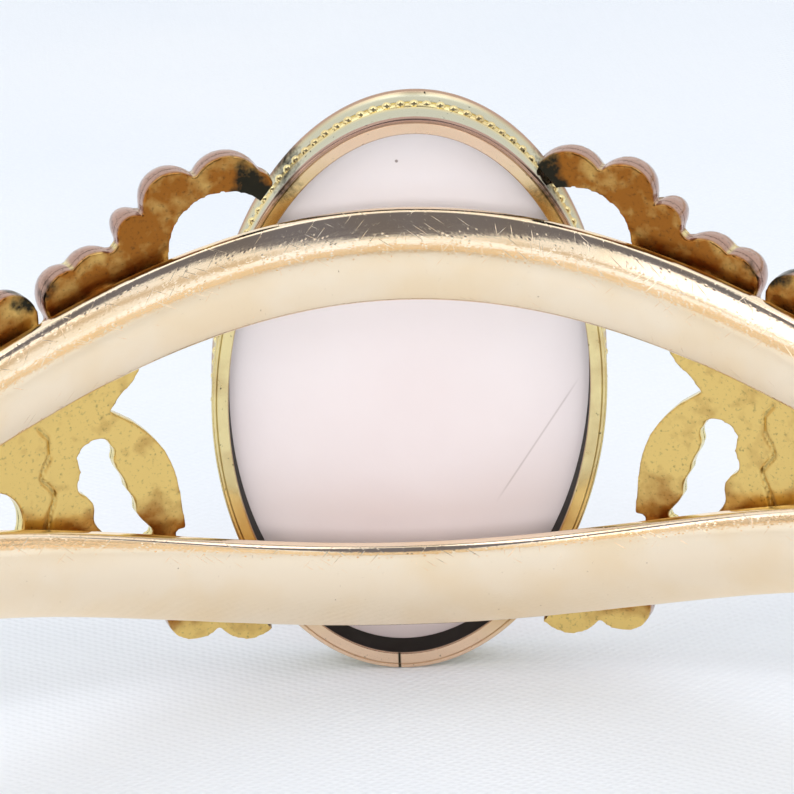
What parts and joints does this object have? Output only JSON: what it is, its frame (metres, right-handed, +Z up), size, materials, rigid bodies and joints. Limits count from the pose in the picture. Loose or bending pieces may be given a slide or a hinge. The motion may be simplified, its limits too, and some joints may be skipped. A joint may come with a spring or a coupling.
{
  "type": "cameo bangle",
  "caption": "Rigid oval-cameo bangle: a deep oval setting carried by half-round rails and pierced leaf scrollwork, with a plain reeded band round the back of the wrist.",
  "frame": {"origin": "centre of the bangle's box in plan, on the surface that it lies on", "axes": "+Z up from that surface, close to the wrist's axis; -Y the way the cameo faces; +X to the left as seen from inside the loop"},
  "size_m": [0.0636, 0.0695, 0.0279],
  "materials": {
    "polished_gold": "polished rolled gold",
    "gilt": "satin gilt",
    "shell_pink": "satin shell"
  },
  "bodies": {
    "root": {"upper_rail": "polished_gold", "lower_rail": "polished_gold", "back_band": "polished_gold", "left_scroll": "gilt", "right_scroll": "gilt", "setting": "gilt", "cameo": "shell_pink"}
  },
  "joints": []
}
